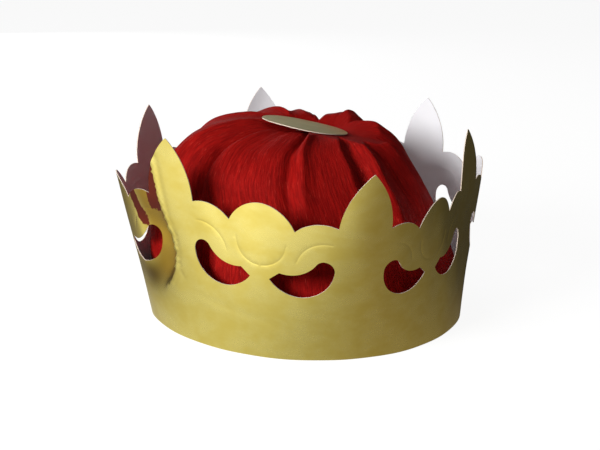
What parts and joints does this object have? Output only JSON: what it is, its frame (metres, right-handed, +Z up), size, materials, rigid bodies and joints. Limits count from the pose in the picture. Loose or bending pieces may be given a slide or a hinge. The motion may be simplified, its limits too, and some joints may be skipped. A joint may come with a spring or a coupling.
{
  "type": "paper crown",
  "caption": "Paper crown: a gold foil card band cut into pointed petals and round lobes with bean-shaped cut-outs, lined with a gathered red crepe bonnet under a card disc.",
  "frame": {"origin": "middle of the head opening, on the plane the hem stands on", "axes": "+Z up out of the crown's top, -Y towards the side seen from the front"},
  "size_m": [0.2209, 0.2415, 0.1178],
  "materials": {
    "gold_card": "satin gold foil outside, white card inside, raw white cut edges",
    "red_crepe": "matt deep red crepe paper with fine upright crinkles",
    "disc_card": "dull satin foil card with a pale cut edge"
  },
  "bodies": {
    "root": {"crown_band": "gold_card", "crepe_bonnet": "red_crepe", "top_disc": "disc_card"}
  },
  "joints": []
}
